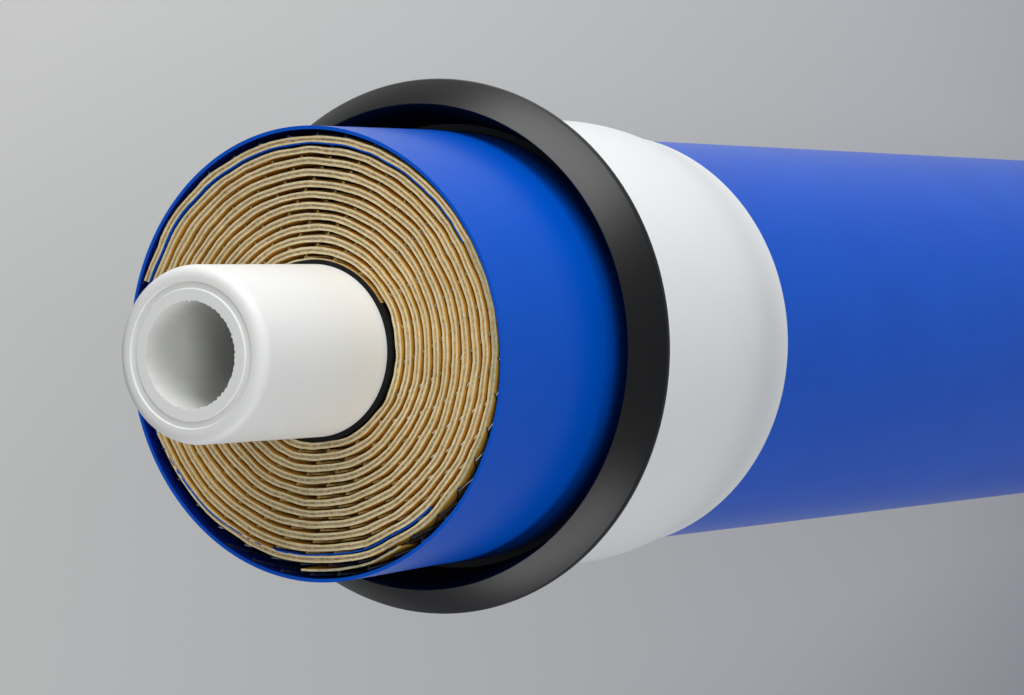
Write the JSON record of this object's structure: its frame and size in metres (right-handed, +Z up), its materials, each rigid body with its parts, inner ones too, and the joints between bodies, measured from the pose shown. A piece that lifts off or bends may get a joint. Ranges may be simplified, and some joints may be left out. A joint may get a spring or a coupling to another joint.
{
  "type": "reverse osmosis membrane element",
  "caption": "Spiral-wound reverse osmosis element of the 1812 household size: core tube, wound membrane leaf and feed net, blue wrap, flared brine seal, O-ring stub.",
  "frame": {"origin": "centre of the permeate tube's lower end face, on the surface that the element stands on", "axes": "+Z up along the tube, from the O-ring end to the feed end with the brine seal"},
  "size_m": [0.055, 0.055, 0.298],
  "materials": {
    "permeate_tube": "satin moulded",
    "lower_o_ring": "satin",
    "upper_o_ring": "satin",
    "core_wrap": "matte",
    "membrane_roll": "matte, fibrous cut edge",
    "outer_wrap": "gloss film",
    "brine_seal": "satin",
    "seal_tape": "smooth tape"
  },
  "bodies": {
    "root": {"permeate_tube": "permeate_tube", "lower_o_ring": "lower_o_ring", "upper_o_ring": "upper_o_ring", "core_wrap": "core_wrap", "membrane_roll": "membrane_roll", "outer_wrap": "outer_wrap", "brine_seal": "brine_seal", "seal_tape": "seal_tape"}
  },
  "joints": []
}
